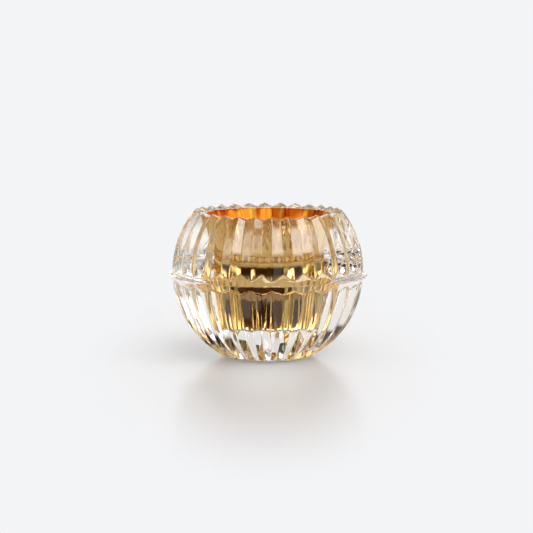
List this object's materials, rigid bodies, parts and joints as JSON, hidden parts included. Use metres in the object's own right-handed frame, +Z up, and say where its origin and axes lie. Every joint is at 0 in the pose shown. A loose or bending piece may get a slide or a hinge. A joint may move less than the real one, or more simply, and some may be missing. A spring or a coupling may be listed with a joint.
{
  "type": "tealight holder",
  "caption": "Heavy ribbed clear-crystal ball with a sharp ridge round its middle and an open well lined with gold lustre, holding a lift-out tealight.",
  "frame": {"origin": "centre of the flat base's underside", "axes": "+Z up along the axis of the ball; the ball's section repeats every 12.86 degrees about it"},
  "size_m": [0.0998, 0.0998, 0.0736],
  "materials": {
    "crystal": "polished clear crystal",
    "gold_lustre": "fired-on gold lustre, mirror bright from the crystal side, amber where seen directly",
    "cup_aluminium": "thin pressed foil, satin",
    "wax": "smooth paraffin wax, slightly translucent",
    "wick_cotton": "braided and waxed cotton"
  },
  "bodies": {
    "holder": {"crystal_body": "crystal", "gold_lustre_film": "gold_lustre"},
    "tealight": {"tealight_cup": "cup_aluminium", "tealight_wax": "wax", "wick_sustainer": "cup_aluminium", "tealight_wick": "wick_cotton"}
  },
  "joints": [
    {"name": "tealight_lift", "type": "slide", "parent": "holder", "child": "tealight", "axis": [0, 0, 1], "range_m": [0, 0.08]}
  ]
}
